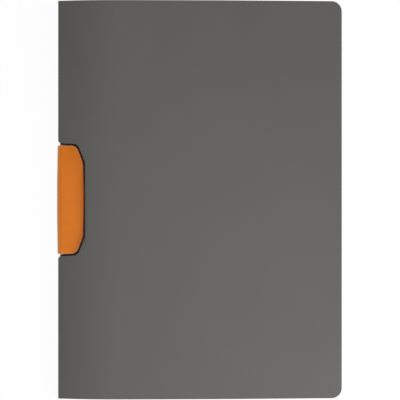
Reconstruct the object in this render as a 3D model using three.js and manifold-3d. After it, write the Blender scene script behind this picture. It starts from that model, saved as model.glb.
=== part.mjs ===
// Clip folder for loose A4 sheets: a creased plastic cover with a swing clip let into its spine.
// Millimetres. x runs from the spine to the fore-edge, y along the spine, z up through the closed folder.
// The folder lies closed on its back cover, and the clip's jaw is down on its base plate.
import * as THREE from "three";
import { mergeVertices } from "three/addons/utils/BufferGeometryUtils.js";
import Module from "manifold-3d";

const wasm = await Module();
wasm.setup();

// Cover
const coverLength = 310;
const coverWidth = 221.4;
const sheetThickness = 0.6;
const foreCornerRadius = 8;
const creaseGap = 0.3; // between two panels, across the mitre of their crease
const coverBow = 4.2; // rise of the front cover, which the creases push up
const bowPeak = 46; // from the spine to the highest line of the bow
const bowStations = 24;

// Swing clip, seen from above
const clipHalfLength = 42.3;
const clipReach = 20.4; // from the spine's outer face to the jaw's front edge
const shoulderLength = 13.4; // of each slanted shoulder, along the spine
const shoulderReach = 14.4; // from the spine to where each shoulder meets its end edge
const tipBow = 0.65; // how far the front edge bows out at its middle
const bowShare = 0.7; // share of the front edge that bends, the rest being straight
const tipCornerRadius = 14;
const endCornerRadius = 6.3;

// Swing clip, seen from the end
const barrelRadius = 4;
const barrelCrown = 0.45; // the barrel is this much slimmer at its ends
const barrelProud = 1.15; // how far the barrel stands out of the spine
const barrelLift = 0.2; // from the table to the barrel
const clipProud = 1.2; // how far the jaw stands above the front cover at the spine
const clipWall = 0.9; // the jaw's roof at its thinnest
const clipEdgeRadius = 1.3;
const endRounding = 0.4;
const endWall = 1.5;
const shoulderWall = 1.3;
const mouthAngle = THREE.MathUtils.degToRad(-60); // where the barrel's skin ends, below the bar
const webThickness = 1.2;
const webReach = 4.6; // from the hinge axis to the end of each web's gusset
const webDrop = 1.6; // fall of the gusset from the roof to the barrel

// Lip along the jaw's front edge
const lipWall = 1.9;
const lipHalfLength = 26.5;
const lipRamp = 2.2; // length over which each end of the lip slopes up to the rim
const gripWidth = 1.1;
const gripHeight = 1;
const gripEndInset = 1; // from each end of the lip to the grip strip
const gripSocket = 0.5; // how far the grip strip sits up inside the lip
const biteGap = 0.3; // between the closed lip and its pad, with no paper in

// Cut-outs in the cover around the clip
const cutOutEndGap = 1;
const cutOutFrontGap = 0.8;
const cutOutShoulderGap = 1.4; // past the clip's shoulders, across the spine
const cutOutFlare = 0.8; // how much longer the cut-out is at the spine
const cutOutChamfer = 1.4; // corner cut at the spine
const cutOutTipRadius = 2;
const cutOutEndRadius = 5.5;
const notchRadius = 2;

// Hinge bar and its lugs
const barRadius = 1.7;
const barFlat = 1.2; // from the axis to each flat that the leaf springs settle on
const tenonHalfWidth = 0.75;
const tenonGap = 0.1;
const lugRadius = 1.6;
const lugThickness = 1.9;
const lugFoot = 5; // from the base plate's left edge to the end of each lug's slope
const lugArcStart = THREE.MathUtils.degToRad(-126);
const lugArcEnd = THREE.MathUtils.degToRad(72);
const runningGap = 0.15; // around the bar, inside the clip
const endPlay = 0.3; // between the clip's ends and the lugs
const swingGap = 0.35; // between the clip and what it turns past

// Base plate
const baseThickness = 1;
const baseMargin = 4.2; // how far the plate reaches past the clip's outline
const baseBevel = 0.4;
const stopWidth = 0.9;
const stopHeight = 3.4; // above the plate
const stopToothCount = 7;
const stopToothGap = 2.4;
const stopEndInset = 2.9; // from each end of the clip to the last tooth
const padInside = 1.3; // how far the pad reaches behind the lip
const padOutside = 0.7; // how far it reaches in front of the lip
const padThickness = 0.5;
const padProud = 0.15;

// Springs and their retainer, under the jaw's roof
const layerGap = 0.05;
const springThickness = 0.35;
const springWidth = 15;
const springOffset = 18; // from the clip's middle to the middle of each spring
const springTail = 0.9; // past the axis, towards the spine
const springDip = 0.2; // how far each spring bends down over the bar
const springBendStart = 1.6; // from the axis to each end of that bend
const springBendEnd = 5.4;
const springFrontGap = 1.2; // from each spring to the lip
const retainerThickness = 0.6;
const stakeEndInset = 9.3; // from each end of the clip to the last stake
const stakeRadius = 0.9;
const stakeHeadRadius = 1.4;
const stakeHeadHeight = 0.35;
const stakeGap = 0.1;

// Rivets
const rivetCount = 4;
const rivetEndInset = 6.3; // from each end of the clip to the last rivet
const rivetShankRadius = 1.1;
const rivetHeadRadius = 2.6;
const rivetHeadHeight = 0.3;
const rivetRollRadius = 2;
const rivetRollHeight = 0.3;
const rivetGap = 0.1;
const seatGap = 0.05; // between pieces that lie on each other

// Facets
const arcSegments = 4;
const edgeSegments = 3;
const barrelSegments = 21;
const roundSegments = 24;
const crownStations = 8;

// Places worked out from the sizes above
const axisX = barrelRadius - barrelProud;
const axisZ = barrelLift + barrelRadius;
const clipTop = axisZ + barrelRadius;
const tipHalfLength = clipHalfLength - shoulderLength;
const shoulderSlant = Math.atan2(clipReach - tipBow - shoulderReach, shoulderLength);
const lipInnerX = clipReach - tipBow - lipWall;
const frontOuterZ = clipTop - clipProud;
const cutOutHalfLength = clipHalfLength + cutOutEndGap;
const cutOutSpineHalf = cutOutHalfLength + cutOutFlare;
const spineEndY = cutOutSpineHalf + cutOutChamfer;
const mitre = (creaseGap / 2) * Math.SQRT2;
const cavityRadius = barrelRadius - barrelCrown - clipWall;
const roofZ = axisZ + cavityRadius;
const springTopZ = roofZ - layerGap;
const springLowZ = springTopZ - springThickness;
const retainerTopZ = springLowZ - layerGap;
const retainerLowZ = retainerTopZ - retainerThickness;
const rimZ = retainerLowZ;
const baseLowZ = sheetThickness + seatGap;
const baseTopZ = baseLowZ + baseThickness;
const baseLeftX = axisX + barrelRadius + swingGap;
const retainerLeftX = baseLeftX + stopWidth + swingGap;
const stakeX = (retainerLeftX + lipInnerX) / 2;
const stakeEnd = clipHalfLength - stakeEndInset;
const stakeOffsets = [-stakeEnd, -springOffset, 0, springOffset, stakeEnd];
const rivetX = (baseLeftX + stopWidth + lipInnerX - padInside) / 2;
const rivetOffsets = spread(rivetCount, clipHalfLength - rivetEndInset);
const stopPitch = (2 * (clipHalfLength - stopEndInset) + stopToothGap) / stopToothCount;
const padTopZ = baseTopZ + padProud;
const padLowZ = padTopZ - padThickness;
const gripLowZ = padTopZ + biteGap;
const lipZ = gripLowZ + gripHeight - gripSocket;
const lugStartY = clipHalfLength + endPlay;
const lugEndY = lugStartY + lugThickness;
const wallMiddle = clipWall / 2; // how far webs and stakes run into the jaw's roof and barrel
const farAway = coverLength;
const spare = 1; // how far a solid that cuts reaches past what it cuts

// Evenly spaced places from -end to end.
function spread(count, end) {
  return Array.from({ length: count }, (_, i) => end * ((2 * i) / (count - 1) - 1));
}

// Solids

const weldDistance = 1e-4;

function solidOf(geometry) {
  const bare = new THREE.BufferGeometry();
  bare.setAttribute("position", geometry.getAttribute("position"));
  bare.setIndex(geometry.index);
  const merged = mergeVertices(bare, weldDistance);
  const mesh = new wasm.Mesh({
    numProp: 3,
    vertProperties: merged.attributes.position.array,
    triVerts: new Uint32Array(merged.index.array),
  });
  return new wasm.Manifold(mesh);
}

function geometryOf(solid) {
  const { vertProperties, triVerts } = solid.getMesh();
  const geometry = new THREE.BufferGeometry();
  geometry.setAttribute("position", new THREE.BufferAttribute(vertProperties, 3));
  geometry.setIndex(new THREE.BufferAttribute(triVerts, 1));
  return geometry;
}

function join(solids) {
  return solids.reduce((whole, solid) => whole.add(solid));
}

function cut(whole, solids) {
  return solids.reduce((rest, solid) => rest.subtract(solid), whole);
}

function box(x0, x1, y0, y1, z0, z1) {
  const geometry = new THREE.BoxGeometry(x1 - x0, y1 - y0, z1 - z0);
  return solidOf(geometry.translate((x0 + x1) / 2, (y0 + y1) / 2, (z0 + z1) / 2));
}

function extrusion(shape, depth) {
  return new THREE.ExtrudeGeometry(shape, { depth, bevelEnabled: false, curveSegments: arcSegments });
}

// An outline in plan, from z0 up to z1.
function slab(shape, z0, z1) {
  return solidOf(extrusion(shape, z1 - z0).translate(0, 0, z0));
}

// The same, with its upper edge rounded or bevelled.
function edgedSlab(shape, z0, z1, edge, segments) {
  const settings = {
    depth: z1 - z0,
    bevelThickness: edge,
    bevelSize: edge,
    bevelOffset: -edge,
    bevelSegments: segments,
    curveSegments: arcSegments,
  };
  const both = new THREE.ExtrudeGeometry(shape, settings).translate(0, 0, z0 - edge);
  return solidOf(both).subtract(box(-farAway, farAway, -farAway, farAway, z0 - farAway, z0));
}

// An outline in x and z, from y0 to y1.
function bar(shape, y0, y1) {
  return solidOf(extrusion(shape, y1 - y0).rotateX(Math.PI / 2).translate(0, y1, 0));
}

// An outline in y and z, from x0 to x1.
function plank(shape, x0, x1) {
  return solidOf(extrusion(shape, x1 - x0).rotateX(Math.PI / 2).rotateZ(Math.PI / 2).translate(x0, 0, 0));
}

function rodAlongY(radius, x, z, y0, y1) {
  const geometry = new THREE.CylinderGeometry(radius, radius, y1 - y0, roundSegments);
  return solidOf(geometry.translate(x, (y0 + y1) / 2, z));
}

// A solid of revolution about an upright axis, through [radius, z] points from its bottom to its top.
function turned(profile, x, y) {
  const points = profile.map(([radius, z]) => new THREE.Vector2(radius, z));
  const geometry = new THREE.LatheGeometry(points, roundSegments);
  return solidOf(geometry.rotateX(Math.PI / 2).translate(x, y, 0));
}

function shapeOf(points) {
  return new THREE.Shape(points.map(([u, v]) => new THREE.Vector2(u, v)));
}

// A closed outline through corners [u, v, radius], with an arc at each corner that has a radius.
function roundedShape(corners) {
  const shape = new THREE.Shape();
  corners.forEach(([u, v, radius = 0], i) => {
    const corner = new THREE.Vector2(u, v);
    const [beforeU, beforeV] = corners.at(i - 1);
    const [afterU, afterV] = corners[(i + 1) % corners.length];
    const back = new THREE.Vector2(beforeU, beforeV).sub(corner).normalize();
    const ahead = new THREE.Vector2(afterU, afterV).sub(corner).normalize();
    const half = Math.acos(THREE.MathUtils.clamp(back.dot(ahead), -1, 1)) / 2;
    const start = back.clone().multiplyScalar(radius / Math.tan(half)).add(corner);
    if (i === 0) shape.moveTo(start.x, start.y);
    else shape.lineTo(start.x, start.y);
    if (radius === 0) return;
    const end = ahead.clone().multiplyScalar(radius / Math.tan(half)).add(corner);
    const centre = back.clone().add(ahead).setLength(radius / Math.sin(half)).add(corner);
    const from = start.sub(centre).angle();
    const to = end.sub(centre).angle();
    shape.absarc(centre.x, centre.y, radius, from, to, back.cross(ahead) > 0);
  });
  return shape;
}

// Points along an arc in x and z.
function arcPoints(x, z, radius, from, to, segments) {
  return Array.from({ length: segments + 1 }, (_, i) => {
    const angle = from + ((to - from) * i) / segments;
    return [x + radius * Math.cos(angle), z + radius * Math.sin(angle)];
  });
}

// A solid through rings of [x, z] points, one at each y, all with the same number of points.
function loft(stations, ringAt) {
  const rings = stations.map(ringAt);
  const count = rings[0].length;
  const points = rings.flatMap((ring, s) => ring.map(([x, z]) => new THREE.Vector3(x, stations[s], z)));
  const index = [];
  for (let s = 0; s + 1 < rings.length; s++) {
    for (let k = 0; k < count; k++) {
      const near = s * count + k;
      const next = s * count + ((k + 1) % count);
      index.push(near, next, near + count);
      index.push(next, next + count, near + count);
    }
  }
  const flat = (ring) => ring.map(([x, z]) => new THREE.Vector2(x, z));
  const capOf = (ring) => THREE.ShapeUtils.triangulateShape(flat(ring), []);
  const last = (rings.length - 1) * count;
  for (const [a, b, c] of capOf(rings[0])) index.push(a, b, c);
  for (const [a, b, c] of capOf(rings.at(-1))) index.push(last + a, last + c, last + b);
  const geometry = new THREE.BufferGeometry().setFromPoints(points);
  geometry.setIndex(index);
  return solidOf(geometry);
}

// Outline of the clip in plan, grown outwards, from the lower end to the upper one

function clipCorners(grow, tipRadius, endRadius) {
  const reach = clipReach + grow;
  const end = clipHalfLength + grow;
  const tip = tipHalfLength + grow * Math.tan(shoulderSlant / 2);
  const shoulderX = reach - tipBow - (end - tip) * Math.tan(shoulderSlant);
  const bowRise = tipBow / (1 - bowShare / 2); // of the corner that the front edge's bend rounds off
  const bowRadius = (tip * tip * bowShare) / bowRise;
  return [
    [shoulderX, -end, endRadius],
    [reach - tipBow, -tip, tipRadius],
    [reach - tipBow + bowRise, 0, bowRadius],
    [reach - tipBow, tip, tipRadius],
    [shoulderX, end, endRadius],
  ];
}

function clipShape(grow, leftX) {
  const corners = clipCorners(grow, tipCornerRadius + grow, endCornerRadius + grow);
  const end = clipHalfLength + grow;
  return roundedShape([[leftX, -end], ...corners, [leftX, end]]);
}

// A band that follows the jaw's front edge, between two growths of the clip's outline.
function frontBand(outerGrow, innerGrow, halfLength, z0, z1) {
  const outer = slab(clipShape(outerGrow, axisX), z0, z1);
  const inner = slab(clipShape(innerGrow, 0), z0 - spare, z1 + spare);
  const length = box(0, farAway, -halfLength, halfLength, z0, z1);
  return outer.subtract(inner).intersect(length);
}

// Cover

function bowAt(x) {
  const span = x < bowPeak ? bowPeak : coverWidth - bowPeak;
  return coverBow * (1 - ((x - bowPeak) / span) ** 2);
}

// A panel's plan, with cutOut as the corners of what is left out along the spine, from y+ to y-.
function panelPlan(cutOut) {
  const half = coverLength / 2;
  const chamferEnd = spineEndY + spare;
  return roundedShape([
    [-spare, -half],
    [coverWidth, -half, foreCornerRadius],
    [coverWidth, half, foreCornerRadius],
    [-spare, half],
    [-spare, chamferEnd],
    [cutOutChamfer, cutOutSpineHalf],
    ...cutOut,
    [cutOutChamfer, -cutOutSpineHalf],
    [-spare, -chamferEnd],
  ]);
}

// The front cover's cut-out follows the clip's shoulders, but its front edge is straight.
function frontCutOut() {
  const reach = clipReach + cutOutFrontGap;
  const slope = Math.tan(shoulderSlant);
  const lineX = clipReach - tipBow + cutOutShoulderGap;
  const tip = tipHalfLength - (reach - lineX) / slope;
  const endX = lineX - (cutOutHalfLength - tipHalfLength) * slope;
  return [
    [endX, cutOutHalfLength, cutOutEndRadius],
    [reach, tip, cutOutTipRadius],
    [reach, -tip, cutOutTipRadius],
    [endX, -cutOutHalfLength, cutOutEndRadius],
  ];
}

function frontCover() {
  const stations = Array.from({ length: bowStations + 1 }, (_, i) => {
    return mitre + ((coverWidth - mitre) * i) / bowStations;
  });
  const outer = stations.map((x) => [x, frontOuterZ + bowAt(x)]);
  const inner = outer.map(([x, z]) => [x, z - sheetThickness]);
  inner[0] = [mitre + sheetThickness, inner[0][1]];
  const sheet = bar(shapeOf([...inner, ...outer.reverse()]), -farAway, farAway);
  return sheet.intersect(slab(panelPlan(frontCutOut()), 0, farAway));
}

// How far the back cover's notch runs in, to let the barrel turn.
function notchDepth() {
  const height = axisZ - sheetThickness;
  return axisX + Math.sqrt((barrelRadius + swingGap) ** 2 - height ** 2);
}

function backCover() {
  const section = shapeOf([
    [mitre, 0],
    [coverWidth, 0],
    [coverWidth, sheetThickness],
    [mitre + sheetThickness, sheetThickness],
  ]);
  const depth = notchDepth();
  const notch = [
    [depth, cutOutHalfLength, notchRadius],
    [depth, -cutOutHalfLength, notchRadius],
  ];
  const sheet = bar(section, -farAway, farAway).intersect(slab(panelPlan(notch), -spare, sheetThickness + spare));
  const holes = rivetOffsets.map((y) => rivetSolid(rivetX, y, rivetGap));
  return cut(sheet, holes);
}

function spineStrip(y0, y1) {
  const section = shapeOf([
    [0, mitre],
    [sheetThickness, mitre + sheetThickness],
    [sheetThickness, frontOuterZ - mitre - sheetThickness],
    [0, frontOuterZ - mitre],
  ]);
  return bar(section, y0, y1);
}

// Rivet: a flat head let into the back cover and a rolled head let into the base plate

function rivetSolid(x, y, grow) {
  const low = grow > 0 ? -spare : 0;
  const high = grow > 0 ? baseTopZ + spare : baseTopZ;
  return turned([
    [0, low],
    [rivetHeadRadius + grow, low],
    [rivetHeadRadius + grow, rivetHeadHeight + grow],
    [rivetShankRadius + grow, rivetHeadHeight + grow],
    [rivetShankRadius + grow, baseTopZ - rivetRollHeight - grow],
    [rivetRollRadius + grow, baseTopZ - rivetRollHeight - grow],
    [rivetRollRadius + grow, high],
    [0, high],
  ], x, y);
}

// Base plate, with the two lugs that carry the hinge bar and the toothed stop for the sheets

function lug(y0, y1) {
  const shape = new THREE.Shape();
  shape.moveTo(baseLeftX + lugFoot, baseLowZ);
  shape.lineTo(baseLeftX - swingGap, baseLowZ);
  shape.absarc(axisX, axisZ, lugRadius, lugArcStart, lugArcEnd, true);
  shape.lineTo(baseLeftX + lugFoot, baseTopZ);
  const hole = tenonHalfWidth + tenonGap;
  const opening = box(axisX - hole, axisX + hole, y0 - spare, y1 + spare, axisZ - hole, axisZ + hole);
  return bar(shape, y0, y1).subtract(opening);
}

function stopTooth(y) {
  const half = (stopPitch - stopToothGap) / 2;
  const slope = stopWidth / 2;
  const shape = shapeOf([
    [y - half, baseLowZ],
    [y + half, baseLowZ],
    [y + half, baseTopZ + stopHeight - slope],
    [y + half - slope, baseTopZ + stopHeight],
    [y - half + slope, baseTopZ + stopHeight],
    [y - half, baseTopZ + stopHeight - slope],
  ]);
  return plank(shape, baseLeftX, baseLeftX + stopWidth);
}

function basePlate() {
  const plate = edgedSlab(clipShape(baseMargin, baseLeftX), baseLowZ, baseTopZ, baseBevel, 1);
  const teeth = spread(stopToothCount, (stopPitch * (stopToothCount - 1)) / 2).map(stopTooth);
  const lugs = [lug(lugStartY, lugEndY), lug(-lugEndY, -lugStartY)];
  const holes = rivetOffsets.map((y) => rivetSolid(rivetX, y, rivetGap));
  const groove = padBand(rivetGap, padLowZ - seatGap, baseTopZ + spare);
  return cut(join([plate, ...teeth, ...lugs]), [...holes, groove]);
}

function padBand(grow, z0, z1) {
  const inside = -lipWall - padInside - grow;
  return frontBand(padOutside + grow, inside, lipHalfLength + grow, z0, z1);
}

// Hinge bar: two long flats, and a square tenon at each end that keeps it from turning

function hingeBar() {
  const half = lugStartY - rivetGap;
  const far = barRadius + spare;
  const above = box(axisX - far, axisX + far, -half, half, axisZ + barFlat, axisZ + far);
  const below = box(axisX - far, axisX + far, -half, half, axisZ - far, axisZ - barFlat);
  const ends = clipHalfLength - endWall;
  const flats = box(-farAway, farAway, -ends, ends, 0, farAway);
  const rod = rodAlongY(barRadius, axisX, axisZ, -half, half);
  const flatted = cut(rod, [above.intersect(flats), below.intersect(flats)]);
  const t = tenonHalfWidth;
  return flatted.add(box(axisX - t, axisX + t, -lugEndY, lugEndY, axisZ - t, axisZ + t));
}

// Clip jaw: barrel, roof, rim, lip, webs round the hinge bar, and the stakes that hold the springs

function barrelRadiusAt(y) {
  const share = y / clipHalfLength;
  const atEnd = Math.abs(y) > clipHalfLength - endRounding / 2;
  return barrelRadius - barrelCrown * share ** 2 - (atEnd ? endRounding : 0);
}

function jawRing(y) {
  const radius = barrelRadiusAt(y);
  const top = axisZ + radius;
  const right = clipReach + spare;
  return [
    ...arcPoints(axisX, axisZ, radius, mouthAngle, -Math.PI * 1.5, barrelSegments),
    [right, top],
    [right, rimZ],
    [axisX + radius * Math.cos(mouthAngle), rimZ],
  ];
}

function jawBlock() {
  const inner = clipHalfLength - endRounding;
  const whole = loft([-clipHalfLength, ...spread(crownStations + 1, inner), clipHalfLength], jawRing);
  return whole.intersect(edgedSlab(clipShape(0, -farAway), -spare, clipTop, clipEdgeRadius, edgeSegments));
}

function jawCavity() {
  const reach = barrelRadius + spare;
  const shape = shapeOf([
    ...arcPoints(axisX, axisZ, cavityRadius, Math.PI / 2, Math.PI * 2 + mouthAngle, barrelSegments),
    [axisX + reach * Math.cos(mouthAngle), axisZ + reach * Math.sin(mouthAngle)],
    [farAway, axisZ - reach],
    [farAway, roofZ],
  ]);
  const inner = clipHalfLength - endWall;
  return bar(shape, -inner, inner).intersect(slab(clipShape(-shoulderWall, -farAway), -farAway, farAway));
}

function jawLip() {
  const band = frontBand(0, -lipWall, clipHalfLength, lipZ, roofZ);
  const ramp = plank(shapeOf([
    [-lipHalfLength, lipZ],
    [lipHalfLength, lipZ],
    [lipHalfLength + lipRamp, roofZ],
    [-lipHalfLength - lipRamp, roofZ],
  ]), 0, farAway);
  return band.intersect(ramp);
}

function gripBand(grow, z0, z1) {
  const middle = -lipWall / 2;
  const half = gripWidth / 2 + grow;
  return frontBand(middle + half, middle - half, lipHalfLength - gripEndInset + grow, z0, z1);
}

function web(y, thickness) {
  const shape = new THREE.Shape();
  shape.absarc(axisX, axisZ, cavityRadius + wallMiddle, Math.PI / 2, Math.PI * 2, false);
  shape.lineTo(axisX + cavityRadius + wallMiddle, roofZ - webDrop);
  shape.lineTo(axisX + webReach, roofZ);
  shape.lineTo(axisX + webReach, roofZ + wallMiddle);
  return bar(shape, y - thickness / 2, y + thickness / 2);
}

// A web on each side of each spring, and one that backs each end wall.
function webs() {
  const beside = springWidth / 2 + swingGap + webThickness / 2;
  const inner = [-1, 1].flatMap((side) => [-1, 1].map((end) => side * springOffset + end * beside));
  const ends = [-1, 1].map((side) => side * (clipHalfLength - endRounding - endWall / 2));
  return [...inner.map((y) => web(y, webThickness)), ...ends.map((y) => web(y, endWall))];
}

function stake(y) {
  return turned([
    [0, retainerLowZ],
    [stakeHeadRadius, retainerLowZ],
    [stakeRadius, retainerLowZ + stakeHeadHeight],
    [stakeRadius, roofZ + wallMiddle],
    [0, roofZ + wallMiddle],
  ], stakeX, y);
}

function stakeHole(y) {
  return turned([
    [0, retainerLowZ - spare],
    [stakeHeadRadius + stakeGap, retainerLowZ - spare],
    [stakeHeadRadius + stakeGap, retainerLowZ + stakeGap],
    [stakeRadius + stakeGap, retainerLowZ + stakeHeadHeight + stakeGap],
    [stakeRadius + stakeGap, roofZ],
    [0, roofZ],
  ], stakeX, y);
}

function clipJaw() {
  const shell = jawBlock().subtract(jawCavity());
  const added = join([shell, jawLip(), ...webs(), ...stakeOffsets.map(stake)]);
  const bore = rodAlongY(barRadius + runningGap, axisX, axisZ, -farAway, farAway);
  const socket = gripBand(stakeGap, lipZ - spare, gripLowZ + gripHeight + seatGap);
  return cut(added, [bore, socket]);
}

// Leaf spring: flat under the roof, and bent down over the hinge bar

function leafSpring(middleY) {
  const front = lipInnerX - springFrontGap;
  const top = [
    [axisX - springTail, springTopZ - springDip],
    [axisX + springBendStart, springTopZ - springDip],
    [axisX + springBendEnd, springTopZ],
    [front, springTopZ],
  ];
  const under = top.map(([x, z]) => [x, z - springThickness]).reverse();
  const half = springWidth / 2;
  const strip = bar(shapeOf([...top, ...under]), middleY - half, middleY + half);
  return cut(strip, stakeOffsets.map(stakeHole));
}

function springRetainer() {
  const gap = lipWall + stakeGap;
  const plan = clipShape(-gap, retainerLeftX);
  const inner = clipHalfLength - endWall - stakeGap;
  const length = box(0, farAway, -inner, inner, 0, farAway);
  const plate = slab(plan, retainerLowZ, retainerTopZ).intersect(length);
  return cut(plate, stakeOffsets.map(stakeHole));
}

// Pieces

const finishes = {
  cover: { color: 0x656463, roughness: 0.62, metalness: 0 },
  clip: { color: 0xcf7325, roughness: 0.45, metalness: 0 },
  black: { color: 0x1b1a19, roughness: 0.55, metalness: 0 },
  steel: { color: 0xb4b6b8, roughness: 0.32, metalness: 1 },
  rubber: { color: 0x242322, roughness: 0.9, metalness: 0 },
};

function piece(name, finish, solid) {
  const material = new THREE.MeshStandardMaterial(finishes[finish]);
  const mesh = new THREE.Mesh(geometryOf(solid), material);
  mesh.name = name;
  return mesh;
}

function cover() {
  const half = coverLength / 2;
  return [
    piece("back_cover", "cover", backCover()),
    piece("spine_head", "cover", spineStrip(spineEndY, half)),
    piece("spine_foot", "cover", spineStrip(-half, -spineEndY)),
    piece("front_cover", "cover", frontCover()),
  ];
}

function base() {
  const rivets = rivetOffsets.map((y, i) => piece(`rivet_${i + 1}`, "steel", rivetSolid(rivetX, y, 0)));
  return [
    piece("base_plate", "black", basePlate()),
    piece("base_pad", "rubber", padBand(0, padLowZ, padTopZ)),
    piece("hinge_bar", "steel", hingeBar()),
    ...rivets,
  ];
}

function clip() {
  return [
    piece("clip_jaw", "clip", clipJaw()),
    piece("leaf_spring_head", "steel", leafSpring(springOffset)),
    piece("leaf_spring_foot", "steel", leafSpring(-springOffset)),
    piece("spring_retainer", "black", springRetainer()),
    piece("grip_strip", "rubber", gripBand(0, gripLowZ, gripLowZ + gripHeight)),
  ];
}

// The origin is under the middle of the folder, on the table.
const folder = new THREE.Group();
folder.add(...cover(), ...base(), ...clip());
folder.position.x = -(coverWidth - barrelProud) / 2;

export default folder;
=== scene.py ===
# Clip folder, closed and seen from straight above: a dark grey creased cover with an orange swing clip.
import math

import bmesh
import bpy
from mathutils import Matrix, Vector
from mathutils.geometry import tessellate_polygon


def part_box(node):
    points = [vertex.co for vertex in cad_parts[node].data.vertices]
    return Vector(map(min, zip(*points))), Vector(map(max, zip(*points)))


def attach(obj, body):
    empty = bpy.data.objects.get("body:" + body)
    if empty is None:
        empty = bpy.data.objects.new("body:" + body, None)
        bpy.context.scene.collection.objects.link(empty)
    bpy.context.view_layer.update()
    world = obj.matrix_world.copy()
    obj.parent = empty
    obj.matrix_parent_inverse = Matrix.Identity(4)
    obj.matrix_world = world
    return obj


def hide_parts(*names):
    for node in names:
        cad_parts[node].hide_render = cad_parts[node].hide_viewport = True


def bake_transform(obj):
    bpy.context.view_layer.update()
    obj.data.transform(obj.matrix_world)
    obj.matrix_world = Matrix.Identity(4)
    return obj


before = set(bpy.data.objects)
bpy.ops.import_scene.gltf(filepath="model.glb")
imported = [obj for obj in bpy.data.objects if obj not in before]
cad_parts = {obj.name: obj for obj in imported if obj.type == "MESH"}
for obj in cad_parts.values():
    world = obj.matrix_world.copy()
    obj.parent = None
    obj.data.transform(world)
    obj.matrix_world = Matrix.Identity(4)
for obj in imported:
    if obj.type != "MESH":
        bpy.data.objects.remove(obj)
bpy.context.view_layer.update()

# Sizes are in millimetres. x goes from the spine to the fore edge, and the clip's middle is at y = 0.
# Finished meshes are scaled to metres and moved into the frame.
MM = 0.001
SPINE_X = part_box("spine_head")[0].x
HALF_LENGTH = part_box("spine_head")[1].y / MM
COVER_WIDTH = (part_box("back_cover")[1].x - SPINE_X) / MM
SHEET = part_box("back_cover")[1].z / MM
CLIP_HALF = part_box("clip_jaw")[1].y / MM
CLIP_REACH = 20.4
CLIP_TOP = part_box("clip_jaw")[1].z / MM
SPINE_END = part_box("spine_head")[0].y / MM

# Cover
SPINE_HEIGHT = 7.0
FORE_RADIUS = 8.0
BOW_RISE = 4.2
BOW_PEAK = 46.0
FOLD_RADIUS = 0.7
FOLD_LEG = 0.35
RIM_BEVEL = 0.12
CUT_OUT_END_GAP = 1.0
CUT_OUT_FRONT_GAP = 0.8
CUT_OUT_SHOULDER_GAP = 1.4
CUT_OUT_FLARE = 0.8
CUT_OUT_CHAMFER = 1.4
CUT_OUT_TIP_RADIUS = 2.0
CUT_OUT_END_RADIUS = 5.5
NOTCH_RADIUS = 2.0

# Clip
BARREL = 4.0
BARREL_LIFT = 0.2
BARREL_PROUD = 1.15
BARREL_CROWN = 0.45
CLIP_WALL = 0.9
CLIP_EDGE = 1.3
END_ROUNDING = 0.4
END_WALL = 1.5
SHOULDER_WALL = 1.3
SHOULDER_LENGTH = 13.4
SHOULDER_REACH = 14.4
TIP_BOW = 0.65
BOW_SHARE = 0.7
TIP_RADIUS = 14.0
END_RADIUS = 6.3
MOUTH_ANGLE = math.radians(-60)
BARREL_TOP_ANGLE = -1.5 * math.pi
WEB_THICKNESS = 1.2
WEB_REACH = 4.6
WEB_DROP = 1.6
LIP_WALL = 1.9
LIP_HALF = 26.5
LIP_RAMP = 2.2
LIP_BLANK_END = 3.0
GRIP_WIDTH = 1.1
GRIP_HEIGHT = 1.0
GRIP_END = 1.0
GRIP_SOCKET = 0.5
BITE_GAP = 0.3

# Hinge bar and base plate
BAR = 1.7
BAR_FLAT = 1.2
TENON = 0.75
TENON_GAP = 0.1
LUG = 1.6
LUG_THICKNESS = 1.9
LUG_FOOT = 5.0
LUG_ARC = (-0.7 * math.pi, -1.6 * math.pi)
RUNNING_GAP = 0.15
END_PLAY = 0.3
SWING_GAP = 0.35
BASE_THICKNESS = 1.0
BASE_MARGIN = 4.2
BASE_BEVEL = 0.4
STOP_WIDTH = 0.9
STOP_HEIGHT = 3.4
STOP_COUNT = 7
STOP_GAP = 2.4
STOP_END = 2.9
PAD_INSIDE = 1.3
PAD_OUTSIDE = 0.7
PAD_THICKNESS = 0.5
PAD_PROUD = 0.15

# Springs, retainer and rivets
LAYER_GAP = 0.05
SPRING_THICKNESS = 0.35
SPRING_WIDTH = 15.0
SPRING_OFFSET = 18.0
SPRING_TAIL = 0.9
SPRING_DIP = 0.2
SPRING_BEND = (1.6, 5.4)
SPRING_FRONT_GAP = 1.2
RETAINER_THICKNESS = 0.6
STAKE_END = 9.3
STAKE = 0.9
STAKE_HEAD = 1.4
STAKE_HEAD_HEIGHT = 0.35
STAKE_GAP = 0.1
RIVET_COUNT = 4
RIVET_END = 6.3
RIVET_SHANK = 1.1
RIVET_HEAD = 2.6
RIVET_HEAD_HEIGHT = 0.3
RIVET_ROLL = 2.0
RIVET_ROLL_HEIGHT = 0.3
FIT_GAP = 0.1
SEAT_GAP = 0.05

# Fineness of the meshes
ARC_STEPS = 10
COVER_ARC_STEPS = 14
LUG_STEPS = 24
BARREL_STEPS = 42
ROUND_STEPS = 48
CROWN_STEPS = 24
EDGE_STEPS = 7
END_SHARES = (0.35, 0.65, 0.87, 0.97)
FOLD_STEP = 0.11
NEAR_FOLD = 6
NEAR_FOLD_STEP = 0.6
PANEL_STEP = 2.5
SPINE_STEP = 1.0
LENGTH_STEP = 8

# Limits: points that are one, a plane's thickness, flat faces, rims and edges to round, edges that look sharp
WELD = 0.002
SEAM_WIDTH = 1e-4
PLANE = 1e-5
FLAT_ANGLE = math.radians(0.6)
RIM_ANGLE = math.radians(60)
EDGE_ANGLE = math.radians(32)
SMOOTH_ANGLE = math.radians(40)

# How far solids reach past what they cut: out of the object, and only a little
FAR = 400.0
PAST = 1.0

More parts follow.
